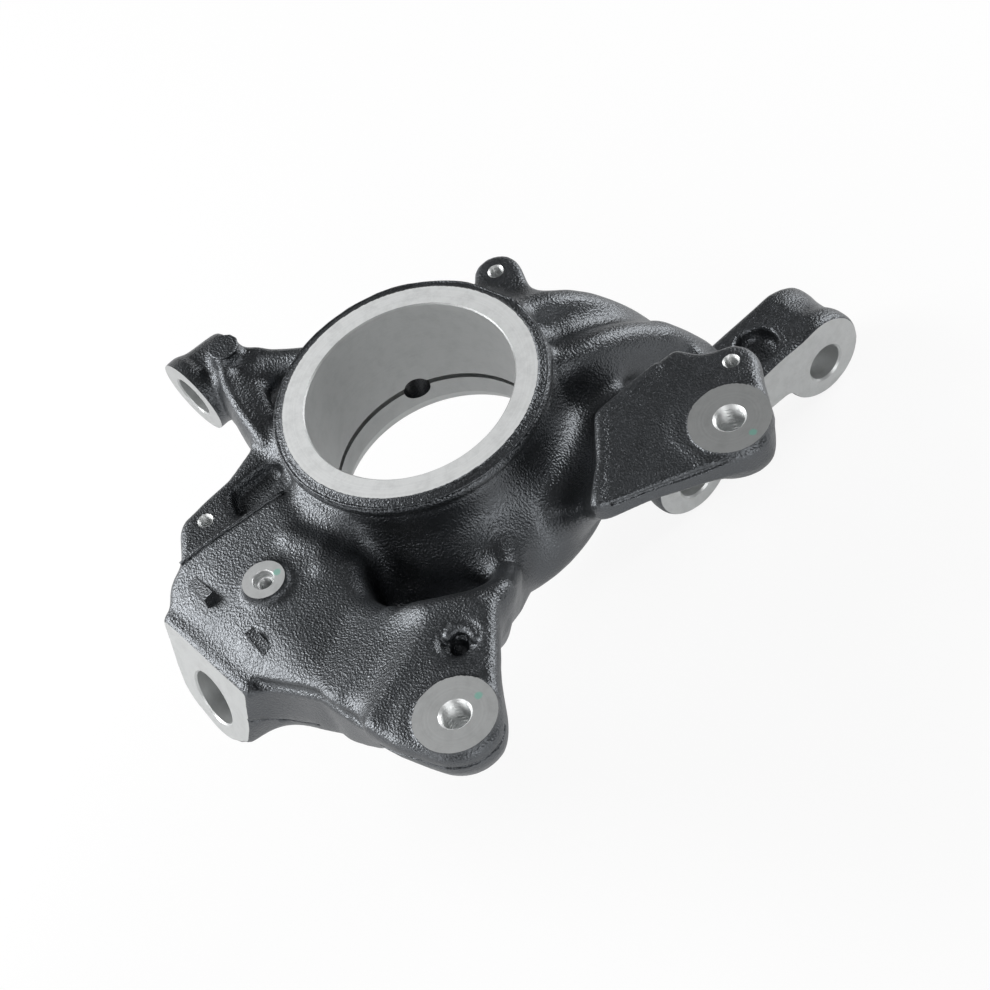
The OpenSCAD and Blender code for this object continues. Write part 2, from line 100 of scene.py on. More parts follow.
# Foundry practice: fillets between small details and where arms run out, rounded edges, and
# how wide the pattern was dressed smooth (the spread of the averaging weights)
SMALL_FILLET, BIG_FILLET = 1.6, 5.5
EDGE, WIDE_EDGE = 1.7, 3.2
DRESSED, DRESSED_SOFT, DRESSED_NOTCH = 1.1, 3.2, 5.0
FILL = 1.5      # how far a filling reaches past the wall of a bore that it closes
STOCK = 4.0     # metal left on a face that will be machined

# the field's cell, how far from the skin it is measured, and the space left round the casting
VOX = 1.0
BAND = 9.0
MARGIN = 13.0
MOST_TRIANGLES = 150000   # of the skin, before the bores and threads are cut into it
box_lo = np.array(cad_box[0]) / MM
box_hi = np.array(cad_box[1]) / MM
cell_lo = np.floor((box_lo - MARGIN) / VOX).astype(int)
shape = tuple(np.ceil((box_hi + MARGIN) / VOX).astype(int) - cell_lo + 1)
axes = [(cell_lo[k] + np.arange(shape[k])) * VOX for k in range(3)]
SCALE = openvdb.createLinearTransform(voxelSize=VOX)

# Lines on the casting, as points on or near its skin.
SHIELD_STEP = [(-101.5, 24.6, -16.0), (-79.0, 18.4, -13.6), (-56.1, 13.4, -11.6)]
FLANK_NOTCH = [(-24, -57, -28), (-12, -62, -28)]
LUG_RIGHT_EDGE = [(-36, -94, -3), (-44.6, -103.0, -3), (-54, -113.5, -3)]
EAR_RIGHT_EDGE = [(92, -88, -3), (86, -99, -3)]
SHEET_VALLEY = [(-65.3, -75.9, -2.4), (-77.3, -80.4, -2.4), (-92.6, -83.9, -2.4),
                (-100.6, -86.5, -3.4)]
BLOCK_EDGE = [(-112.6, -38.0, -22.6), (-107.8, -48.4, -20.4), (-103.9, -57.5, -17.8),
              (-103.3, -66.9, -15.4), (-103.9, -75.3, -13.6), (-104.4, -84.2, -12.0),
              (-105.0, -92.5, -10.3)]
RIM_LINE = [(52.2 * math.cos(a), 52.2 * math.sin(a), -1.3)
            for a in np.linspace(0.02, 2 * math.pi - 0.02, 90)]
CORE_STUB = [(-59.6, -92.6, -3.6), (-56.8, -92.0, -3.3), (-54.2, -94.0, -3.3),
             (-53.0, -97.2, -3.3), (-53.6, -100.4, -3.6)]
LUG_WALL = [(-42.5, -96.0, -6.4), (-54.5, -109.3, -6.4), (-62.5, -118.2, -6.4)]
LUG_BACK = [(-60.1, -71.8, -8.2), (-52.7, -79.8, -7.4), (-45.6, -85.3, -7.0),
            (-39.7, -89.4, -7.0), (-34.8, -90.4, -7.2), (-31.4, -86.0, -12), (-22.6, -76.4, -21)]
BRANCH_WEB = [(-33.8, 68.9, -21), (-36.0, 61.4, -21), (-38.4, 53.6, -21), (-41.9, 46.5, -21)]
BRANCH_ROOT = [(-29.3, 75.6, -36), (-29.7, 69.7, -36), (-28.0, 66.5, -36)]
BOSS_SHOULDER = [(-44.0, 98.2, -24), (-31.0, 96.5, -24)]
ARM_HOLLOW = [(-26.5, 73.0, -21.5), (-26.5, 71.5, -32)]
EAR_BEAD = [(10, -94.4, -2.2), (19.6, -83.8, -2.2), (28.6, -74.2, -2.2), (35.7, -65.6, -2.2),
            (44.8, -65.4, -2.2), (56.5, -65.9, -2.2), (63.0, -66.4, -2.2)]
EAR_LOW_BEAD = [(9.9, -94.4, -1.9), (16.7, -98.4, -1.9), (23.1, -101.9, -1.9),
                (29.8, -105.0, -1.9), (36.8, -107.9, -1.9), (43.5, -111.0, -1.9),
                (47.2, -113.2, -1.9)]
EAR_GROOVE = [(13.4, -96.2, -3.6), (22.6, -101.9, -3.6), (29.0, -105.4, -3.6),
              (35.6, -108.5, -3.6), (42.6, -111.4, -3.6), (48.1, -113.7, -3.6),
              (52.6, -116.1, -3.6)]
EAR_FLASH = [(13.6, -98.4, -8.5), (20.4, -102.5, -8.5), (26.9, -105.9, -8.5),
             (36.3, -111.3, -8.5), (46.4, -116.1, -8.5), (54.0, -120.2, -8.5)]
TIE_FOLD = [(-34.7, 81.8, -10.1), (-39.3, 73.7, -13.0), (-41.1, 66.1, -13.5),
            (-42.9, 59.5, -14.0), (-44.0, 53.0, -14.5), (-45.1, 46.7, -15.2),
            (-46.4, 41.2, -16.2)]
LUG_GROOVE = [(-101.9, -103.2, -9.1), (-100.2, -113.5, -5.6), (-97.3, -122.0, -5.6),
              (-92.6, -131.0, -5.8), (-86.5, -136.4, -6.2), (-79.8, -138.4, -6.4),
              (-73.4, -137.4, -6.4), (-67.6, -134.2, -6.4)]
LUG_RIDGE = [(-62, -75.5, -3.2), (-56.4, -79.0, -2.9), (-50.6, -83.2, -2.9),
             (-44.4, -89.2, -2.9)]
FLANK_PARTING = [(-123.5, -36.6, -36.5), (-117.6, -38.9, -39.6), (-113.6, -41.4, -42.0),
                 (-109.3, -47.4, -43.3), (-105.8, -57.3, -39.4)]
HIGH_MOUND = [(-67, -5, -13), (-62, -17, -13)]
LOW_MOUND = [(-67, -25, -14), (-59, -30, -15)]
# where forms run into each other without an edge: lines and the reach about them
SMOOTHED = [
    ([(-65, -76, -4), (-77, -80, -4), (-92, -84, -6)], 12),
    ([(-62, -72, -8), (-53, -80, -8), (-45, -86, -8), (-34, -91, -9), (-28, -88, -14),
      (-19, -80, -22)], 11),
    ([(-45, -30, -30), (-25, -58, -30), (2, -66, -32), (24, -58, -30), (40, -36, -26)], 24),
    ([(-16, -78, -30), (-28, -86, -24)], 16),
    ([(44, -27, -20), (60, -34, -16), (78, -34, -20)], 16),
    ([(50, 10, -20), (62, -5, -30), (90, -20, -50)], 24),
    ([(-29, 75, -25), (-22, 70, -20), (-8, 62, -16)], 12),
    ([(-54, -8, -17), (-62, -30, -17), (-66, -51, -16)], 12)]
# bosses and marks that keep small fillets: centre and radius
DETAILS = [(sens_c, 15), ((-60, 31), 17), ((-59.2, -97), 9), (pin_c, 11), ((-46, 93), 19),
           (dimple_at, 14)]
# the two lug plates' right walls: a point, the outward direction, and where along -y they start
LUG_SIDES = [((-51.4, -112.1), (0.782, -0.623), 97), ((81.8, -105.9), (0.766, -0.643), 98)]
SIDE_REACH, SIDE_BLEND = 34, 5.0
# the block's top round the small ribs: its height at x -103, y 5, and its slopes
GROUND_AT, GROUND = (-103, 5), (-18.3, 0.29, -0.05)
RIB_BEDS = [[(-103, -3, 0), (-103, 12, 0)], [(-103, -36, 0), (-103, -22, 0)]]
# the round core mark on the lower lug plate and the hole in it
MARK_AT, MARK_R = (-57.6, -97.6, 0), 6.2
MARK_HOLE, MARK_HOLE_R = [(-59.4, -97.4, -6.8), (-59.0, -98.0, -3.2)], 3.3


def over(place, z):
    """The point at the height z over a place in plan."""
    return place[0], place[1], z


def measure(points, tris, quads=None):
    """Signed distance in mm from a closed surface to each grid point, cut off at BAND."""
    grid = openvdb.FloatGrid.createLevelSetFromPolygons(
        points.astype(np.float32), triangles=tris.astype(np.uint32), quads=quads,
        transform=SCALE, halfWidth=BAND / VOX)
    field = np.zeros(shape, np.float32)
    grid.copyToArray(field, ijk=tuple(int(v) for v in cell_lo))
    return field


def surface(field, level=0.0):
    """The points, triangles and quads where the field has that level, in mm."""
    grid = openvdb.FloatGrid(float(BAND))
    grid.transform = SCALE
    grid.copyFromArray(field, ijk=tuple(int(v) for v in cell_lo))
    return grid.convertToPolygons(level, 0.0)


def offset(field, level):
    """The field measured anew from its own surface at that level."""
    points, tris, quads = surface(field, level)
    return measure(points, tris, quads)


def close_by(field, r):
    """Grows by r and shrinks by r: a ball of radius r rolls along every inner corner."""
    return offset(field, r) + r


def open_by(field, r):
    """Shrinks by r and grows by r: every outer edge gets the radius r."""
    return offset(field, -r) - r


def blur_by(field, sigma):
    """The field averaged with its neighbours by bell-shaped weights, one axis after another."""
    reach = int(math.ceil(3 * sigma / VOX))
    taps = np.exp(-0.5 * (np.arange(-reach, reach + 1) * VOX / sigma) ** 2)
    taps = (taps / taps.sum()).astype(np.float32)
    for k in range(3):
        pads = [(reach, reach) if axis == k else (0, 0) for axis in range(3)]
        wide = np.pad(field, pads, mode="edge")
        field = sum(w * np.take(wide, range(j, j + shape[k]), axis=k) for j, w in enumerate(taps))
    return field


def near(lo, hi):
    """The part of the grid between two corners: its slices and its three coordinate arrays."""
    cut = []
    for k in range(3):
        a = max(int(math.floor(lo[k] / VOX)) - cell_lo[k], 0)
        b = min(int(math.ceil(hi[k] / VOX)) - cell_lo[k] + 1, shape[k])
        cut.append(slice(a, b))
    cut = tuple(cut)
    x = axes[0][cut[0]][:, None, None]
    y = axes[1][cut[1]][None, :, None]
    z = axes[2][cut[2]][None, None, :]
    return cut, x, y, z


def everywhere():
    """The whole grid, in the same form."""
    return near(box_lo - MARGIN, box_hi + MARGIN)


def soft_min(a, b, k):
    """The smaller of two distances, blended over k."""
    h = np.clip(0.5 + 0.5 * (b - a) / k, 0.0, 1.0)
    return b * (1 - h) + a * h - k * h * (1 - h)


def soft_max(a, b, k):
    """The larger of two distances, blended over k."""
    return -soft_min(-a, -b, k)


def rod(x, y, z, c, n, r, h0, h1):
    """Distance to a cylinder about the axis n through c, between the heights h0 and h1."""
    dx, dy, dz = x - c[0], y - c[1], z - c[2]
    h = dx * n[0] + dy * n[1] + dz * n[2]
    side = np.sqrt(np.maximum(dx * dx + dy * dy + dz * dz - h * h, 0.0)) - r
    ends = np.maximum(h - h1, h0 - h)
    return np.maximum(side, ends)


def near_rod(c, n, r, h0, h1, k):
    """The part of the grid round a cylinder, and the distance to it there."""
    c, n = np.array(c, float), np.array(n, float)
    reach = r + k + 3
    ends = np.array([c + n * h0, c + n * h1])
    cut, x, y, z = near(ends.min(0) - reach, ends.max(0) + reach)
    return cut, rod(x, y, z, c, n, r, h0, h1)


def add_rod(field, c, n, r, h0, h1, k=0.0):
    """Puts a cylinder into the field, blended over k where k isn't zero."""
    cut, d = near_rod(c, n, r, h0, h1, k)
    field[cut] = soft_min(field[cut], d, k) if k else np.minimum(field[cut], d)


def press_rod(field, c, n, r, h0, h1, k):
    """Takes a cylinder out of the field, blended over k."""
    cut, d = near_rod(c, n, r, h0, h1, k)
    field[cut] = soft_max(field[cut], -d, k)


def along(x, y, z, path, r):
    """Distance to a chain of round beads: the nearest point of each stretch, less its radius."""
    best = None
    r = np.broadcast_to(np.asarray(r, float), (len(path),))
    for a, b, ra, rb in zip(path[:-1], path[1:], r[:-1], r[1:]):
        a, b = np.array(a, float), np.array(b, float)
        d = b - a
        t = ((x - a[0]) * d[0] + (y - a[1]) * d[1] + (z - a[2]) * d[2]) / float(d @ d)
        t = np.clip(t, 0, 1)
        dist = np.sqrt((x - a[0] - t * d[0]) ** 2 + (y - a[1] - t * d[1]) ** 2
                       + (z - a[2] - t * d[2]) ** 2) - (ra + (rb - ra) * t)
        best = dist if best is None else np.minimum(best, dist)
    return best


def near_bead(path, r, k):
    """The part of the grid round a path, and the distance to a bead of radius r along it."""
    p = np.array(path, float)
    cut, x, y, z = near(p.min(0) - r - k - 2, p.max(0) + r + k + 2)
    return cut, along(x, y, z, path, r)


def add_bead(field, path, r, k):
    """A round bead along a path, blended into the skin over k."""
    cut, d = near_bead(path, r, k)
    field[cut] = soft_min(field[cut], d, k)


def press_bead(field, path, r, k):
    """A round groove along a path."""
    cut, d = near_bead(path, r, k)
    field[cut] = soft_max(field[cut], -d, k)


def settle(field, path, lift):
    """Spaces a path out evenly, drops it onto the skin along the field's slope, and lifts it."""
    p = np.array(path, float)
    run = np.concatenate([[0], np.cumsum(np.linalg.norm(np.diff(p, axis=0), axis=1))])
    t = np.linspace(0, run[-1], max(int(run[-1] / 3), 2))
    q = np.stack([np.interp(t, run, p[:, k]) for k in range(3)], 1)
    for turn in range(6):
        slope = np.stack([sample(field, *(q + step).T) - sample(field, *(q - step).T)
                          for step in np.eye(3)], 1)
        slope /= np.maximum(np.linalg.norm(slope, axis=1, keepdims=True), 1e-6)
        q = q - (sample(field, *q.T)[:, None] - (lift if turn == 5 else 0)) * slope
    return q


def ridge(field, path, r, height, k):
    """A bead that stands up from the skin by height along a path."""
    add_bead(field, settle(field, path, height - r), r, k)


def crease(field, path, r, depth, k):
    """A groove pressed into the skin by depth along a path."""
    press_bead(field, settle(field, path, r - depth), r, k)


def sample(field, px, py, pz):
    """The field between grid points: weights from the eight corners of a cell."""
    u = [np.clip(p / VOX - cell_lo[k], 0, shape[k] - 1.001) for k, p in enumerate((px, py, pz))]
    i = [np.floor(v).astype(int) for v in u]
    f = [v - w for v, w in zip(u, i)]
    out = 0
    for a in (0, 1):
        for b in (0, 1):
            for c in (0, 1):
                w = ((f[0] if a else 1 - f[0]) * (f[1] if b else 1 - f[1])
                     * (f[2] if c else 1 - f[2]))
                out = out + w * field[i[0] + a, i[1] + b, i[2] + c]
    return out


def machining_allowance(field, c, n, radius, depth=1.5):
    """Runs the section just under a machined face on past it, as the rough casting does.
    The cut that follows leaves a crisp edge, where a rounded skin would only bend over."""
    c, n = np.array(c, float), np.array(n, float)
    reach = radius + STOCK
    cut, x, y, z = near(c - reach, c + reach)
    h = (x - c[0]) * n[0] + (y - c[1]) * n[1] + (z - c[2]) * n[2]
    side = np.sqrt(np.maximum((x - c[0]) ** 2 + (y - c[1]) ** 2 + (z - c[2]) ** 2 - h * h, 0))
    x, y, z = np.broadcast_arrays(x, y, z)
    past = (h > -depth) & (side < radius) & (h < STOCK + 2)
    back = h[past] + depth
    value = sample(field, x[past] - back * n[0], y[past] - back * n[1], z[past] - back * n[2])
    part = field[cut]
    part[past] = np.maximum(value, h[past] - STOCK)
    field[cut] = part


def swell(seed, pitch, height):
    """Slow unevenness of a sand mould: random heights on a coarse grid, joined by cubic curves."""
    rng = np.random.default_rng(seed)
    counts = [int(math.ceil((shape[k] * VOX) / pitch)) + 4 for k in range(3)]
    coarse = rng.normal(0.0, 1.0, counts)
    for k in range(3):
        u = np.arange(shape[k]) * VOX / pitch
        i = np.floor(u).astype(int)
        f = u - i
        w = [(1 - f) ** 3 / 6, (3 * f ** 3 - 6 * f ** 2 + 4) / 6,
             (-3 * f ** 3 + 3 * f ** 2 + 3 * f + 1) / 6, f ** 3 / 6]
        lead = [1, 1, 1]
        lead[k] = -1
        coarse = sum(np.take(coarse, i + j, axis=k) * w[j].reshape(lead) for j in range(4))
    return (coarse * height).astype(np.float32)


def ramp(v, a, b):
    """0 below a, 1 above b, and a smooth step between."""
    t = np.clip((v - a) / (b - a), 0, 1)
    return t * t * (3 - 2 * t)


def corners_of(mesh):
    """A mesh's points, and its triangles as rows of three corner numbers."""
    mesh.calc_loop_triangles()
    co = np.zeros(len(mesh.vertices) * 3, np.float32)
    mesh.vertices.foreach_get("co", co)
    tris = np.zeros(len(mesh.loop_triangles) * 3, np.int32)
    mesh.loop_triangles.foreach_get("vertices", tris)
    return co.reshape(-1, 3), tris.reshape(-1, 3)


def cad_field():
    """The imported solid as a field: its loose triangles are merged on their corners first."""
    co, tris = corners_of(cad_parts["knuckle_casting"].data)
    points, same = np.unique(np.round(co / MM, 4), axis=0, return_inverse=True)
    return measure(points, same.reshape(-1)[tris])


def fill_bores(f):
    """Closes the bores, because the rough casting doesn't have them yet."""
    add_rod(f, (0, 0, 0), UP, bore_r + groove_d + 2.3, -hub_len, -rim_drop)
    add_rod(f, (0, 0, -port_z), port_n, port_r + FILL, 30, 54.5)
    for lug in (cal_up, cal_low):
        add_rod(f, over(lug, 0), UP, cal_hole_r + FILL, -cal_t, plate_z)
    for sx in strut_x:
        add_rod(f, (sx, strut_face_y, -strut_z - strut_hole_drop), ACROSS, strut_hole_r + FILL,
                0, strut_t)
    add_rod(f, ball_c, ball_n, ball_r + FILL, -ball_len, 0)
    add_rod(f, tie_c, tie_n, tie_r + FILL, -tie_len, 0)
    for hole, z, deep in ((ear_hole, plate_z, plate_t), (tab_hole, tab_z, plate_t - 1),
                          (low_hole, low_z, low_t)):
        add_rod(f, over(hole, z), UP, tap_r + 1, -deep, 0)
    add_rod(f, over(sens_c, sens_z), UP, sens_cb_r + 1, -sens_cb_d - tap_len, 0)


def cast_skin():
    """The rough casting before it is machined, as a field."""
    f = cad_field()
    fill_bores(f)
    # machined steps come off down to the cast surface beside them
    cut, x, y, z = everywhere()
    radius = np.hypot(x, y)
    top = np.where(radius < 58, z + rim_drop, z - plate_z)
    f[cut] = np.maximum(f, top)
    # the small ribs are put on later with crisp corners, so the ground under them is levelled
    height, slope_x, slope_y = GROUND
    ground = (z - (height + slope_x * (x - GROUND_AT[0]) + slope_y * (y - GROUND_AT[1])))
    ground = ground / math.hypot(1, slope_x, slope_y)
    for path in RIB_BEDS:
        level = 1 - ramp(along(x, y, 0 * z, path, 0), 5.5, 9)
        f[cut] = np.maximum(f, ground) * level + f * (1 - level)
    machining_allowance(f, strut_c, -ACROSS, 62)
    machining_allowance(f, ball_c, ball_n, 45)
    machining_allowance(f, tie_c, tie_n, 22)
    # the raw lugs are wider than their milled faces, and the rim stands out from the neck
    for lug in (cal_up, cal_low):
        add_rod(f, over(lug, 0), UP, cal_face_r + 1.9, -5, -0.5)
    add_rod(f, (0, 0, 0), UP, rim_r + 0.8, -rim_h, -rim_drop, 0.6)
    # the rounded wall of the lower lug, and the tie-rod arm's flat branch and full boss
    for path, r, k in ((LUG_WALL, 4.2, 2.0), (LUG_BACK, 5.5, 3.0), (BRANCH_WEB, 6.0, 2.0),
                       (BRANCH_ROOT, 4.5, 2.0), (BOSS_SHOULDER, 9.0, 2.0)):
        add_bead(f, path, r, k)
    press_bead(f, ARM_HOLLOW, 4.5, 2.5)
    for (x0, y0), (nx, ny), start in LUG_SIDES:
        past = (x - x0) * nx + (y - y0) * ny + 0 * z
        level = ramp(-y, start, start + 6) * (np.abs(x - x0) < SIDE_REACH)
        f[cut] = f * (1 - level) + soft_max(f, past, SIDE_BLEND) * level
    # generous fillets where the arms run out, small ones round the bosses, the rim and the ribs
    small = close_by(f, SMALL_FILLET)
    big = close_by(f, BIG_FILLET)
    calm = ramp(radius, 53.5, 58) * np.ones_like(z)
    calm = np.maximum(calm, ramp(-z, 8.5, 13) * np.ones_like(radius))
    for c, r in DETAILS:
        calm = calm * ramp(np.hypot(x - c[0], y - c[1]), r - 2, r + 4)
    flat_step = [over(p, 0) for p in SHIELD_STEP]
    calm = calm * ramp(along(x, y, 0 * x, flat_step, 0), 4, 8)
    f = (small * (1 - calm) + big * calm).astype(np.float32)
    # outer edges: small radii, with wider ones where the lug plates run over into their walls
    wide = 0
    for path in (LUG_RIGHT_EDGE, EAR_RIGHT_EDGE):
        wide = np.maximum(wide, 1 - ramp(along(x, y, z, path, 0), 5, 11))
    f = (open_by(f, EDGE) * (1 - wide) + open_by(f, WIDE_EDGE) * wide).astype(np.float32)
    # the pattern was dressed smooth where forms run into each other
    f = blur_by(f, DRESSED)
    soft = 0
    for path, r in SMOOTHED:
        soft = np.maximum(soft, 1 - ramp(along(x, y, z, path, 0), 0.6 * r, r))
    f = f * (1 - soft) + blur_by(f, DRESSED_SOFT) * soft
    soft = 1 - ramp(along(x, y, z, FLANK_NOTCH, 0), 6, 14)
    return f * (1 - soft) + blur_by(f, DRESSED_NOTCH) * soft


def foundry_marks(f):
    """Beads, creases and parting lines that the mould leaves, worked into the skin."""
    for path, r, height, k in ((EAR_BEAD, 2.4, 0.9, 2.0), (EAR_LOW_BEAD, 1.3, 0.6, 0.6),
                               (EAR_FLASH, 1.2, 0.6, 0.6), (TIE_FOLD, 2.2, 0.9, 1.6),
                               (LUG_RIDGE, 3.4, 0.5, 3.0)):
        ridge(f, path, r, height, k)
    crease(f, SHEET_VALLEY, 14.0, 1.0, 4.0)
    crease(f, BLOCK_EDGE, 2.0, 1.9, 0.6)
    # soft mounds at the block's upper end
    for path in (HIGH_MOUND, LOW_MOUND):
        ridge(f, path, 5.5, 1.0, 3.2)
    # the round core mark, a broken stub arching over a hole in it
    press_rod(f, MARK_AT, UP, MARK_R, -4.8, 3, 2.2)
    add_bead(f, CORE_STUB, 2.1, 0.7)
    press_bead(f, MARK_HOLE, MARK_HOLE_R, 0.6)
    # the dimple on the strut tongue, with the raised rim its core print left
    ring_path = [(dimple_at[0] + dimple_r * math.cos(a), dimple_at[1] + dimple_r * math.sin(a),
                  tongue_top - 1.2) for a in np.linspace(0, 2 * math.pi, 25)]
    add_bead(f, ring_path, 1.5, 1.6)
    press_rod(f, over(dimple_at, tongue_top), UP, 6.2, -4.6, 6, 5.0)
    # undercut below the rim bead, away from the arms
    cut, x, y, z = near((-60, -60, -14), (60, 60, 0))
    az = np.degrees(np.arctan2(y, x))
    free = ramp(np.abs(az - 2), 42, 54)
    d = np.hypot(np.hypot(x, y) - 52.6, z + 7.7) - 1.9 * free
    f[cut] = soft_max(f[cut], -d, 0.8)


def keep_mesh(name, points, polygons, materials=()):
    """A mesh object from points in mm and lists of corner numbers."""
    mesh = bpy.data.meshes.new(name)
    mesh.from_pydata((np.asarray(points) * MM).tolist(), [],
                     [list(map(int, p)) for p in polygons])
    mesh.update()
    obj = bpy.data.objects.new(name, mesh)
    scene.collection.objects.link(obj)
    for m in materials:
        mesh.materials.append(m)
    return obj


def fast_mesh(name, points, tris, quads):
    """The same from arrays: corners of triangles and quads laid end to end."""
    mesh = bpy.data.meshes.new(name)
    counts = np.concatenate([np.full(len(tris), 3), np.full(len(quads), 4)])
    starts = np.concatenate([[0], np.cumsum(counts)[:-1]]).astype(np.int32)
    corners = np.concatenate([tris.reshape(-1), quads.reshape(-1)]).astype(np.int32)
    mesh.vertices.add(len(points))
    mesh.vertices.foreach_set("co", (points * MM).astype(np.float32).reshape(-1))
    mesh.loops.add(len(corners))
    mesh.loops.foreach_set("vertex_index", corners)
    mesh.polygons.add(len(counts))
    mesh.polygons.foreach_set("loop_start", starts)
    mesh.update(calc_edges=True)
    mesh.validate()
    obj = bpy.data.objects.new(name, mesh)
    scene.collection.objects.link(obj)
    return obj


def apply_modifiers(obj):
    """Takes the evaluated mesh into the object and drops its modifiers."""
    deps = bpy.context.evaluated_depsgraph_get()
    mesh = bpy.data.meshes.new_from_object(obj.evaluated_get(deps), depsgraph=deps,
                                           preserve_all_data_layers=True)
    old = obj.data
    obj.modifiers.clear()
    obj.data = mesh
    bpy.data.meshes.remove(old)


def frame_of(n):
    """Two unit directions square to n."""
    n = np.array(n, float)
    side = np.cross(n, UP if abs(n[2]) < 0.9 else np.array([1.0, 0, 0]))
    side /= np.linalg.norm(side)
    return side, np.cross(n, side)


def lathe(name, c, n, profile, material, segments=96, wave=None):
    """A closed turned form. profile gives (radius, height) pairs that start and end on the axis;
    point(t, k) = c + n h + (u cos t + v sin t) r, and wave(t, h) adds to r, as a thread does."""
    c, n = np.array(c, float), np.array(n, float)
    u, v = frame_of(n)
    prof = np.array(profile, float)
    inner = prof[1:-1]
    t = np.linspace(0, 2 * math.pi, segments, endpoint=False)
    r = np.broadcast_to(inner[:, 0][:, None], (len(inner), segments)).copy()
    if wave is not None:
        r += wave(t[None, :], inner[:, 1][:, None])
    pts = (c + inner[:, 1][:, None, None] * n + r[..., None] * (
        np.cos(t)[None, :, None] * u + np.sin(t)[None, :, None] * v)).reshape(-1, 3)
    poles = np.array([c + n * prof[0, 1], c + n * prof[-1, 1]])
    k = np.arange(segments)
    k2 = (k + 1) % segments
    polys = []
    for row in range(len(inner) - 1):
        a, b = row * segments, (row + 1) * segments
        polys += np.stack([a + k, a + k2, b + k2, b + k], 1).tolist()
    first, last = len(pts), len(pts) + 1
    polys += [(first, b, a) for a, b in zip(k, k2)]
    tail = (len(inner) - 1) * segments
    polys += [(last, tail + a, tail + b) for a, b in zip(k, k2)]
    obj = keep_mesh(name, np.concatenate([pts, poles]), polys, [material])
    outward(obj)
    return obj


def outward(obj):
    """Turns a closed form's faces outwards, by the sign of its volume."""
    co, tris = corners_of(obj.data)
    p = co.astype(float)[tris]
    if np.einsum("ij,ij->i", p[:, 0], np.cross(p[:, 1], p[:, 2])).sum() < 0:
        obj.data.flip_normals()


def combine(body, others, operation):
    """Joins closed forms to the body or takes them out. Each new face keeps its own material."""
    for other in others:
        m = body.modifiers.new(other.name, "BOOLEAN")
        m.operation, m.object, m.solver = operation, other, "MANIFOLD"
        m.material_mode = "TRANSFER"
    apply_modifiers(body)
    for other in others:
        bpy.data.objects.remove(other)


def strip(name, path, r, lift, material, seed):
    """A six-sided rod carried along a path that is settled on the skin: point(s, a) = path(s) +
    r(s) (u cos a + v sin a), with u and v square to the path. r(s) wanders as a parting line
    does."""
    p = settle(skin, path, lift)
    tangent = np.gradient(p, axis=0)
    tangent /= np.linalg.norm(tangent, axis=1, keepdims=True)
    u = np.cross(tangent, UP)
    u /= np.linalg.norm(u, axis=1, keepdims=True)
    v = np.cross(tangent, u)
    sides = 6
    k = np.arange(sides)
    a = k * 2 * math.pi / sides
    wander = np.random.default_rng(seed).normal(size=(len(p), 1, 1)).clip(-1.5, 1.5)
    size = r * (1 + 0.10 * wander)
    rings = p[:, None] + size * (np.cos(a)[None, :, None] * u[:, None]
                                 + np.sin(a)[None, :, None] * v[:, None])
    start = (np.arange(len(p) - 1) * sides)[:, None]
    ahead = (k + 1) % sides
    quads = np.stack([start + k, start + ahead, start + sides + ahead, start + sides + k], 2)
    ends = [tuple(k[::-1]), tuple(k + (len(p) - 1) * sides)]
    obj = keep_mesh(name, rings.reshape(-1, 3), quads.reshape(-1, 4).tolist() + ends, [material])
    outward(obj)
    return obj


def rib(name, top, material):
    """A short cast rib: its four top corners, and a wider foot sunk in the skin."""
    top = np.array(top, float)
    foot = top.mean(0) + (top - top.mean(0)) * (1.25, 1.06, 1) - (0, 0, 7)
    faces = [(0, 1, 2, 3), (7, 6, 5, 4)]
    faces += [(i, i + 4, (i + 1) % 4 + 4, (i + 1) % 4) for i in range(4)]
    obj = keep_mesh(name, np.concatenate([top, foot]), faces, [material])
    outward(obj)
    return obj


def crisp_edges(obj, places):
    """Smooth shading, but a hard line wherever the tool met the skin or made a corner itself,
    and at the corners of the cast details in the given balls."""
    mesh = obj.data
    mesh.shade_smooth()
    points = np.zeros(len(mesh.vertices) * 3)
    mesh.vertices.foreach_get("co", points)
    ends = np.zeros(len(mesh.edges) * 2, np.int32)
    mesh.edges.foreach_get("vertices", ends)
    middle = points.reshape(-1, 3)[ends.reshape(-1, 2)].mean(1) / MM
    detail = np.zeros(len(mesh.edges), bool)
    for c, r in places:
        detail |= np.linalg.norm(middle - c, axis=1) < r
    corner = np.zeros(len(mesh.edges), bool)
    mesh.set_sharp_from_angle(angle=math.radians(38))
    mesh.attributes["sharp_edge"].data.foreach_get("value", corner)
    mesh.set_sharp_from_angle(angle=math.radians(18))
    loops = np.zeros(len(mesh.loops), np.int32)
    mesh.loops.foreach_get("edge_index", loops)
    count = np.zeros(len(mesh.polygons), np.int32)
    mesh.polygons.foreach_get("loop_total", count)
    kind = np.zeros(len(mesh.polygons), np.int32)
    mesh.polygons.foreach_get("material_index", kind)
    kind = np.repeat(kind, count)
    low = np.full(len(mesh.edges), 99)
    high = np.full(len(mesh.edges), -1)
    np.minimum.at(low, loops, kind)
    np.maximum.at(high, loops, kind)
    sharp = np.zeros(len(mesh.edges), bool)
    named = mesh.attributes["sharp_edge"]
    named.data.foreach_get("value", sharp)
    sharp = (sharp & (high > 0)) | (low != high) | (corner & detail)
    named.data.foreach_set("value", sharp)


def rgb(hex_code):
    """sRGB hex to linear, channel by channel."""
    c = [int(hex_code[i:i + 2], 16) / 255 for i in (1, 3, 5)]
    return tuple(v / 12.92 if v <= 0.04045 else ((v + 0.055) / 1.055) ** 2.4 for v in c) + (1.0,)


def new_material(name):
    """A material with an empty node tree."""
    m = bpy.data.materials.new(name)
    m.use_nodes = True
    m.node_tree.nodes.clear()
    return m, m.node_tree


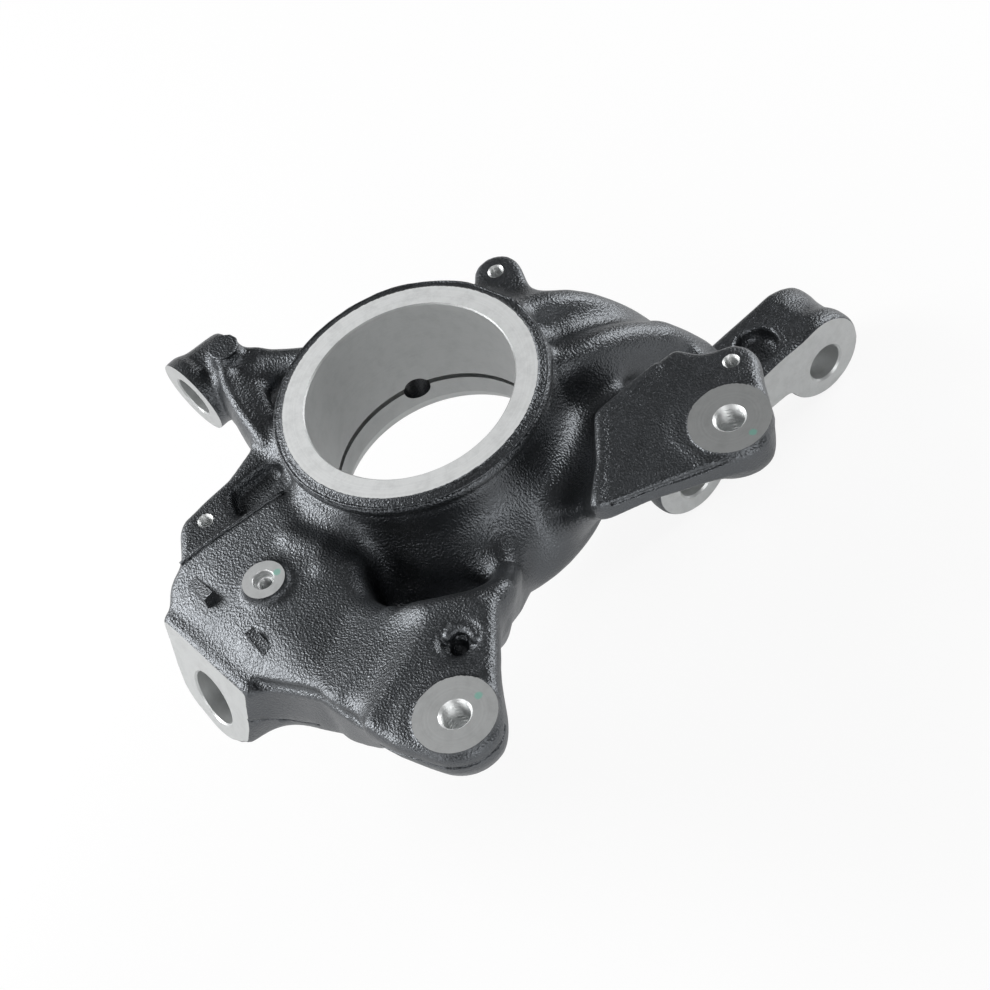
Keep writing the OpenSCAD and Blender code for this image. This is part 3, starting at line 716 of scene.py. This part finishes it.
def node(tree, kind, links=None, inputs=None, **settings):
    """Adds a node, with its settings, its socket values, and links into it from other outputs."""
    n = tree.nodes.new(kind)
    for key, value in settings.items():
        setattr(n, key, value)
    for key, value in (inputs or {}).items():
        n.inputs[key].default_value = value
    for key, source in (links or {}).items():
        tree.links.new(source, n.inputs[key])
    return n


def stops(ramp_node, pairs):
    """Sets a colour ramp from (place, hex) pairs."""
    el = ramp_node.color_ramp.elements
    while len(el) < len(pairs):
        el.new(0.5)
    for e, (place, code) in zip(el, pairs):
        e.position, e.color = place, rgb(code)


def per_mm(size):
    """Noise scale that makes one grain of that many millimetres on coordinates in metres."""
    return 1.0 / (size * MM)


def coated_iron():
    """Grey cast iron under a thin black cathodic dip coat: the grain of the sand mould shows
    through a semi-gloss film, so slopes toward a lamp glitter and the rest stays near black.
    The sand is 0.3 mm; its grain is drawn at 0.6 and 0.9 mm, because finer wouldn't show."""
    m, t = new_material("coated_cast_iron")
    at = node(t, "ShaderNodeTexCoord")
    grain = node(t, "ShaderNodeTexNoise", {"Vector": at.outputs["Object"]},
                 {"Scale": per_mm(0.6), "Detail": 1.5, "Roughness": 0.55})
    pits = node(t, "ShaderNodeTexVoronoi", {"Vector": at.outputs["Object"]},
                {"Scale": per_mm(0.9), "Smoothness": 0.4}, feature="SMOOTH_F1")
    mixed = node(t, "ShaderNodeMath", {0: grain.outputs["Fac"], 1: pits.outputs["Distance"]},
                 operation="ADD")
    bump = node(t, "ShaderNodeBump", {"Height": mixed.outputs[0]},
                {"Strength": 1.0, "Distance": 0.2 * MM})
    # the film is a little thicker and duller in patches some centimetres wide
    patch = node(t, "ShaderNodeTexNoise", {"Vector": at.outputs["Object"]},
                 {"Scale": per_mm(24), "Detail": 4.0, "Roughness": 0.6})
    colour = node(t, "ShaderNodeValToRGB", {"Fac": patch.outputs["Fac"]})
    stops(colour, [(0.35, "#0b0c0d"), (0.7, "#131517")])
    rough = node(t, "ShaderNodeMapRange", {"Value": patch.outputs["Fac"]},
                 {"From Min": 0.3, "From Max": 0.7, "To Min": 0.33, "To Max": 0.42})
    film = node(t, "ShaderNodeBsdfPrincipled",
                {"Base Color": colour.outputs["Color"], "Roughness": rough.outputs["Result"],
                 "Normal": bump.outputs["Normal"]},
                {"IOR": 1.75, "Specular IOR Level": 0.75, "Specular Tint": rgb("#eff5fc")})
    node(t, "ShaderNodeOutputMaterial", {"Surface": film.outputs["BSDF"]})
    return m


def machined_iron(name, code, rough_lo, rough_hi, ring_mm, centre=(0, 0, 0), axis_turn=(0, 0, 0),
                  dab=None, metal=0.65):
    """Bare grey iron as the tool left it: fine rings about the tool's axis, and a soft grey
    sheen that graphite flakes keep from being a mirror. Feed marks of 0.2 mm are drawn ring_mm
    wide, because finer wouldn't show. dab is the place of a spot of inspection paint."""
    m, t = new_material(name)
    at = node(t, "ShaderNodeTexCoord")
    centred = node(t, "ShaderNodeMapping", {"Vector": at.outputs["Object"]},
                   {"Location": [-v * MM for v in centre]}, vector_type="POINT")
    turned = node(t, "ShaderNodeMapping", {"Vector": centred.outputs["Vector"]},
                  {"Rotation": axis_turn}, vector_type="POINT")
    # rings on the face and along the bore: the distance from the axis plus the height on it
    flat = node(t, "ShaderNodeVectorMath", {0: turned.outputs["Vector"]}, {1: (1, 1, 0)},
                operation="MULTIPLY")
    radius = node(t, "ShaderNodeVectorMath", {0: flat.outputs["Vector"]}, operation="LENGTH")
    apart = node(t, "ShaderNodeSeparateXYZ", {"Vector": turned.outputs["Vector"]})
    travel = node(t, "ShaderNodeMath", {0: radius.outputs["Value"], 1: apart.outputs["Z"]},
                  operation="ADD")
    rings = node(t, "ShaderNodeTexNoise", {"W": travel.outputs[0]},
                 {"Scale": per_mm(ring_mm), "Detail": 3.0, "Roughness": 0.7},
                 noise_dimensions="1D")
    grit = node(t, "ShaderNodeTexNoise", {"Vector": at.outputs["Object"]},
                {"Scale": per_mm(1.3), "Detail": 4.0, "Roughness": 0.7})
    both = node(t, "ShaderNodeMix", {2: rings.outputs["Fac"], 3: grit.outputs["Fac"]}, {0: 0.35})
    bump = node(t, "ShaderNodeBump", {"Height": both.outputs[0]},
                {"Strength": 0.35, "Distance": 0.03 * MM})
    # code, the base colour, is made lighter or darker face by face at the calls: painted light and
    # shade. The rings and stains below are the iron's own.
    ring_dark = tuple(0.78 * v for v in rgb(code)[:3]) + (1,)
    shade = node(t, "ShaderNodeMixRGB", {"Fac": both.outputs[0]},
                 {"Color1": ring_dark, "Color2": rgb(code)})
    # faint grey stains where coolant dried
    cloud = node(t, "ShaderNodeTexNoise", {"Vector": at.outputs["Object"]},
                 {"Scale": per_mm(6.0), "Detail": 6.0, "Roughness": 0.7})
    stain = node(t, "ShaderNodeMapRange", {"Value": cloud.outputs["Fac"]},
                 {"From Min": 0.45, "From Max": 0.68, "To Max": 0.18})
    shade = node(t, "ShaderNodeMixRGB",
                 {"Fac": stain.outputs["Result"], "Color1": shade.outputs["Color"]},
                 {"Color2": rgb("#747676")})
    if dab:
        spread = node(t, "ShaderNodeVectorMath", {0: at.outputs["Object"]},
                      {1: tuple(v * MM for v in dab)}, operation="DISTANCE")
        ragged = node(t, "ShaderNodeMath",
                      {0: grit.outputs["Fac"], 2: spread.outputs["Value"]},
                      {1: 1.2 * MM}, operation="MULTIPLY_ADD")
        wet = node(t, "ShaderNodeMapRange", {"Value": ragged.outputs[0]},
                   {"From Min": 1.7 * MM, "From Max": 2.3 * MM, "To Min": 0.75, "To Max": 0.0})
        shade = node(t, "ShaderNodeMixRGB",
                     {"Fac": wet.outputs["Result"], "Color1": shade.outputs["Color"]},
                     {"Color2": rgb("#8fd0bf")})
    rough = node(t, "ShaderNodeMapRange", {"Value": both.outputs[0]},
                 {"From Min": 0.3, "From Max": 0.7, "To Min": rough_lo, "To Max": rough_hi})
    face = node(t, "ShaderNodeBsdfPrincipled",
                {"Base Color": shade.outputs["Color"], "Roughness": rough.outputs["Result"],
                 "Normal": bump.outputs["Normal"]}, {"Metallic": metal})
    node(t, "ShaderNodeOutputMaterial", {"Surface": face.outputs["BSDF"]})
    return m


def thread(r_minor, r_major, pitch, start):
    """Adds the thread's tooth to the radius: a triangle wave of height less turn."""
    def wave(t, h):
        phase = (h / pitch - t / (2 * math.pi)) % 1.0
        return (r_major - r_minor) * (1 - np.abs(2 * phase - 1)) * (h < -start - 0.2)
    return wave


def tapped(name, c, screw, deep, top=0.0, lead=0.6):
    """A threaded hole of the given depth with its chamfer."""
    r_minor, r_major, pitch = screw
    rows = np.arange(-deep, top - lead - 0.2, pitch / 6)
    mouth = r_minor + lead + 0.1
    prof = [(0, -deep - 0.01)] + [(r_minor, h) for h in rows]
    prof += [(r_minor, top - lead - 0.1), (mouth, top), (mouth, top + 4), (0, top + 4)]
    return lathe(name, c, UP, prof, threads, 48, thread(r_minor, r_major, pitch, lead))


def cut_hub():
    """The bearing seat from both ends, the turned face, and the drilled sensor port."""
    bottom, mouth = -hub_len, bore_r + leadin_w
    bore = lathe("cut_bore", (0, 0, 0), UP, [
        (0, bottom - 6), (mouth + 1.5, bottom - 6), (mouth + 1.5, bottom), (mouth, bottom + 0.1),
        (bore_r, bottom + leadin_len), (bore_r, -groove_z - groove_w),
        (bore_r + groove_d, -groove_z - groove_w), (bore_r + groove_d, -groove_z),
        (bore_r, -groove_z), (bore_r, -lip_t), (lip_r, -lip_t), (lip_r, -0.5),
        (lip_r + 0.7, 0.2), (0, 0.2)], bored_seat, 192)
    face = disc("cut_hub_face", (0, 0, 0), hub_face_r + 2, turned_seat, 192)
    port = lathe("cut_port", (0, 0, -port_z), port_n,
                 [(0, 30), (port_r, 30), (port_r, 75), (0, 75)], coat, 48)
    return [bore, face, port]


def disc(name, c, r, material, segments):
    """A flat cutter that stands 4 mm high on the face it mills."""
    return lathe(name, c, UP, [(0, 0), (r, 0), (r, 4), (0, 4)], material, segments)


def cut_lugs():
    """Caliper faces with M12 holes, then strut bolt holes with a lead-in at each end."""
    cuts = []
    for lug, milled in ((cal_low, milled_low), (cal_up, milled_up)):
        cuts.append(disc("cut_lug_face", over(lug, 0), 19, milled, 96))
        cuts.append(tapped("cut_lug_hole", over(lug, 0), M12, cal_t + 6, 0.01, CHAMFER))
    r = strut_hole_r
    for sx in strut_x:
        cuts.append(lathe("cut_strut", (sx, strut_face_y, -strut_z - strut_hole_drop), -ACROSS, [
            (0, -strut_t - 8), (r + 9, -strut_t - 8), (r + 0.7, -strut_t + 0.1),
            (r, -strut_t + 0.8), (r, -0.8), (r + 0.9, 0.1), (r + 0.9, 6), (0, 6)],
            milled_strut, 64))
    return cuts


def cut_arms():
    """The ball joint bore with its spot face, the tie-rod hole, and the faces round them."""
    spot = -ball_len - ball_seat_d
    ball = lathe("cut_ball", ball_c, ball_n, [
        (0, spot), (ball_seat_r, spot), (ball_seat_r, -ball_len), (ball_r, -ball_len),
        (ball_r, -0.7), (ball_r + 0.7, 0), (48, 0), (48, 9), (0, 9)], milled_ball)
    tie = lathe("cut_tie", tie_c, tie_n, [
        (0, -tie_len - 12), (tie_r, -tie_len - 12), (tie_r, -0.6), (tie_r + 0.6, 0), (24, 0),
        (24, 9), (0, 9)], milled_tie)
    return [ball, tie]


def cut_strut_face():
    """A box that mills the front of both strut lugs in one pass."""
    box = keep_mesh("cut_strut_face", [
        (x, y, z) for x in (strut_x[0] - 40, strut_x[1] + 40)
        for y in (strut_face_y - 8, strut_face_y) for z in (-strut_z - 40, -strut_z + 22)],
        [(0, 1, 3, 2), (4, 6, 7, 5), (0, 4, 5, 1), (2, 3, 7, 6), (0, 2, 6, 4), (1, 5, 7, 3)],
        [milled_strut])
    outward(box)
    return [box]


def cut_small_holes():
    """The M6 holes, the last one in the sensor boss's counterbore."""
    cuts = [tapped(name, over(hole, z), M6, tap_len) for name, hole, z in (
        ("cut_ear", ear_hole, plate_z), ("cut_tab", tab_hole, tab_z),
        ("cut_low", low_hole, low_z))]
    cuts.append(lathe("cut_sensor", over(sens_c, sens_z), UP, [
        (0, -sens_cb_d), (sens_cb_r, -sens_cb_d), (sens_cb_r, -0.3), (sens_cb_r + 0.3, 0),
        (sens_r + 4, 0), (sens_r + 4, 4), (0, 4)], milled_sensor, 64))
    cuts.append(tapped("cut_sensor_tap", over(sens_c, sens_z - sens_cb_d), M6, tap_len, 0.0, 0.4))
    return cuts


skin = cast_skin()
skin += swell(7, 9.0, 0.14) + swell(8, 4.5, 0.03)
foundry_marks(skin)
# the pads that stand up for machining, and the cast pin's stem
PAD_TOP = 1.5
add_rod(skin, (0, 0, 0), UP, hub_face_r, -6, PAD_TOP, 0.3)
for lug in (cal_up, cal_low):
    add_rod(skin, over(lug, 0), UP, cal_face_r - 0.3, -6, PAD_TOP, 0.3)
add_rod(skin, over(sens_c, sens_z), UP, sens_r, -10, PAD_TOP, 1.2)
add_rod(skin, over(pin_c, 0), UP, pin_r - 1.2, -20, -pin_z - 2, 1.0)

coat = coated_iron()
# dabs of pale green inspection paint on the sensor boss and the two caliper faces
SENSOR_DAB, LOW_DAB, UP_DAB = (-80.6, -15.0, -11.0), (-69.0, -121.7, 0.0), (63.9, -117.1, 0.0)
# The same bare grey iron gets a lighter or darker base colour on each face: painted light and
# shade, set to how bright each face comes out. The threads are near white as painted light inside
# the holes.
milled_sensor = machined_iron("milled_iron_sensor_boss", "#dcdede", 0.34, 0.46, 0.7,
                              over(sens_c, sens_z), dab=SENSOR_DAB)
turned_seat = machined_iron("turned_iron_seat", "#f6f8f8", 0.34, 0.46, 0.9, metal=0.3)
bored_seat = machined_iron("bored_iron_seat", "#b2b4b4", 0.42, 0.55, 0.9)
threads = machined_iron("cut_iron_threads", "#f0f2f2", 0.35, 0.5, 0.9)
milled_low = machined_iron("milled_iron_lower_lug", "#d0d2d2", 0.34, 0.46, 0.7,
                           over(cal_low, 0), dab=LOW_DAB)
milled_up = machined_iron("milled_iron_upper_lug", "#bcbebe", 0.34, 0.46, 0.7,
                          over(cal_up, 0), dab=UP_DAB)
milled_strut = machined_iron("milled_iron_strut_face", "#d2d4d4", 0.34, 0.46, 6.0,
                             strut_c, (math.radians(90), 0, 0))
milled_ball = machined_iron("milled_iron_ball_face", "#c8caca", 0.32, 0.44, 1.2,
                            ball_c, (0, math.radians(90) - ball_lean, 0))
milled_tie = machined_iron("milled_iron_tie_face", "#b6b8b8", 0.32, 0.44, 0.8,
                           tie_c, (0, math.radians(90), 0))

points, tris, quads = surface(np.maximum(skin, -BAND))
casting = fast_mesh("cast_body", points, tris.reshape(-1, 3)[:, ::-1], quads[:, ::-1])
casting.data.materials.append(coat)
outward(casting)
if len(casting.data.polygons) * 2 > MOST_TRIANGLES:
    fewer = casting.modifiers.new("fewer", "DECIMATE")
    fewer.ratio = MOST_TRIANGLES / (len(casting.data.polygons) * 2)
    apply_modifiers(casting)

# the two small ribs, each by its four top corners, ragged cast lines, and the pin's flat top,
# which the pattern left as a worn polygon
RIB_HIGH = [(-104.8, 14.2, -18.6), (-100.6, 14.8, -17.5), (-101.2, 0.1, -13.6),
            (-105.3, 0.1, -14.2)]
RIB_LOW = [(-104.4, -24.4, -13.4), (-100.7, -25.1, -13.0), (-100.9, -34.9, -15.8),
           (-105.2, -35.1, -16.9)]
combine(casting, [
    rib("rib_high", RIB_HIGH, coat),
    rib("rib_low", RIB_LOW, coat),
    strip("shield_step_line", SHIELD_STEP, 0.8, 0.5, coat, 3),
    strip("rim_flash", RIM_LINE, 0.45, 0.15, coat, 6),
    lathe("cast_pin", over(pin_c, 0), UP, [
        (0, -20), (pin_r - 0.4, -20), (pin_r - 0.3, -pin_z - 1.6), (pin_r, -pin_z - 1.1),
        (pin_r, -pin_z - 0.4), (pin_r - 0.4, -pin_z), (0, -pin_z)], coat, 11)], "UNION")
cuts = cut_hub() + cut_lugs() + cut_arms() + cut_strut_face() + cut_small_holes()
cuts += [strip("ear_groove", EAR_GROOVE, 1.0, 0.3, coat, 8),
         strip("lug_parting", LUG_GROOVE, 0.8, 0.15, coat, 4),
         strip("flank_parting", FLANK_PARTING, 0.6, 0.1, coat, 5)]
combine(casting, cuts, "DIFFERENCE")
crisp_edges(casting, [((-103, 7, -16), 11), ((-103, -30, -15), 10), (over(pin_c, -pin_z), 8)])
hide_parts("knuckle_casting")
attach(casting, "root")

# a pale floor half a millimetre below the casting
FLOOR_HALF = 9000
floor_z = box_lo[2] - 0.5
floor = keep_mesh("floor", [(x * FLOOR_HALF, y * FLOOR_HALF, floor_z)
                            for x, y in ((-1, -1), (1, -1), (1, 1), (-1, 1))], [(0, 1, 2, 3)])
paper, tree = new_material("white_paper")
rays = node(tree, "ShaderNodeLightPath")
at = node(tree, "ShaderNodeTexCoord")
away = node(tree, "ShaderNodeVectorMath", {0: at.outputs["Object"]}, operation="LENGTH")
fade = node(tree, "ShaderNodeMapRange", {"Value": away.outputs["Value"]},
            {"From Min": 0.25, "From Max": 0.8, "To Min": 0.88, "To Max": 1.0})
seen = node(tree, "ShaderNodeMath",
            {0: rays.outputs["Is Camera Ray"], 1: fade.outputs["Result"]}, operation="MULTIPLY")
# in a mirror image the floor under the object keeps its shadow, and further out it is white
near_fade = node(tree, "ShaderNodeMapRange", {"Value": away.outputs["Value"]},
                 {"From Min": 0.12, "From Max": 0.42, "To Min": 0.42, "To Max": 1.0})
# it is deepest in the shade of the upper lug and the strut tongue
lee = node(tree, "ShaderNodeVectorMath", {0: at.outputs["Object"]},
           {1: (0.125, -0.105, floor_z * MM)}, operation="DISTANCE")
shade = node(tree, "ShaderNodeMapRange", {"Value": lee.outputs["Value"]},
             {"From Min": 0.03, "From Max": 0.12, "To Min": 0.06, "To Max": 1.0})
near_fade = node(tree, "ShaderNodeMath",
                 {0: near_fade.outputs["Result"], 1: shade.outputs["Result"]},
                 operation="MULTIPLY")
mirrored = node(tree, "ShaderNodeMath",
                {0: rays.outputs["Is Glossy Ray"], 1: rays.outputs["Is Transmission Ray"]},
                operation="MAXIMUM")
mirrored = node(tree, "ShaderNodeMath", {0: mirrored.outputs[0], 1: near_fade.outputs[0]},
                operation="MULTIPLY")
share = node(tree, "ShaderNodeMath", {0: seen.outputs[0], 1: mirrored.outputs[0]},
             operation="MAXIMUM")
white = node(tree, "ShaderNodeEmission", None, {"Color": rgb("#ffffff"), "Strength": 1.0})
matt = node(tree, "ShaderNodeBsdfDiffuse", None, {"Color": rgb("#f4f4f4")})
mix = node(tree, "ShaderNodeMixShader",
           {0: share.outputs[0], 1: matt.outputs[0], 2: white.outputs[0]})
node(tree, "ShaderNodeOutputMaterial", {"Surface": mix.outputs[0]})
floor.data.materials.append(paper)

# a dark room above the low softboxes, with one soft patch of lit ceiling behind the object;
# the camera itself sees white
world = bpy.data.worlds.new("studio")
scene.world = world
world.use_nodes = True
tree = world.node_tree
tree.nodes.clear()
rays = node(tree, "ShaderNodeLightPath")
way = node(tree, "ShaderNodeTexCoord")
lean = node(tree, "ShaderNodeVectorMath", {0: way.outputs["Generated"]}, {1: (-0.98, 0.2, 0.0)},
            operation="DOT_PRODUCT")
high = node(tree, "ShaderNodeVectorMath", {0: way.outputs["Generated"]}, {1: (0.0, 0.64, 0.77)},
            operation="DOT_PRODUCT")
west = node(tree, "ShaderNodeMapRange", {"Value": lean.outputs["Value"]},
            {"From Min": -0.13, "From Max": 0.03, "To Min": 0.03, "To Max": 0.5},
            interpolation_type="SMOOTHSTEP")
side = node(tree, "ShaderNodeMapRange",
            {"Value": high.outputs["Value"], "To Max": west.outputs["Result"]},
            {"From Min": 0.62, "From Max": 0.92, "To Min": 0.04},
            interpolation_type="SMOOTHSTEP")
level = node(tree, "ShaderNodeMapRange",
             {"Value": rays.outputs["Is Camera Ray"], "To Min": side.outputs["Result"]},
             {"To Max": 1.0})
sky = node(tree, "ShaderNodeBackground", {"Strength": level.outputs["Result"]},
           {"Color": rgb("#ffffff")})
node(tree, "ShaderNodeOutputWorld", {"Surface": sky.outputs[0]})


def softbox(name, place, size, watts):
    """A square area lamp that looks at the middle of the casting. Lengths are metres."""
    data = bpy.data.lights.new(name, "AREA")
    data.shape, data.size, data.energy = "SQUARE", size, watts
    obj = bpy.data.objects.new(name, data)
    scene.collection.objects.link(obj)
    aim = Vector((0, 0, -0.04))
    obj.location = Vector(place)
    obj.rotation_mode = "QUATERNION"
    obj.rotation_quaternion = (aim - Vector(place)).to_track_quat("-Z", "Y")
    return obj


softbox("key_softbox", (-0.467, 0.501, 0.305), 0.42, 5.6)
softbox("side_softbox", (1.13, 0.0, 0.40), 0.8, 11.5)
softbox("front_softbox", (-0.204, -1.157, 0.428), 0.8, 6.5)
softbox("back_softbox", (-1.15, -0.1, 0.34), 0.7, 4.0)

# The camera was fitted to the ellipses of the turned faces: its focal length in widths of the
# picture, its place in metres, and the directions of the picture's right, down and depth.
FOCAL, SENSOR = 2788.0 / 990.0, 36.0
CAMERA_AT = (-0.23276, -0.64832, 0.74446)
PICTURE_AXES = Matrix(((0.72924, -0.6264, -0.27537), (-0.64518, -0.49543, -0.58162),
                       (0.2279, 0.60181, -0.76543)))
DOWN_TO_UP = Matrix(((1, 0, 0), (0, -1, 0), (0, 0, -1)))
camera = bpy.data.objects.new("camera", bpy.data.cameras.new("camera"))
scene.collection.objects.link(camera)
camera.data.sensor_width = SENSOR
camera.data.lens = FOCAL * SENSOR
camera.data.clip_start, camera.data.clip_end = 0.05, 20
turn = PICTURE_AXES.transposed() @ DOWN_TO_UP
camera.matrix_world = Matrix.Translation(CAMERA_AT) @ turn.to_4x4()
scene.camera = camera
scene.view_settings.view_transform = "Standard"
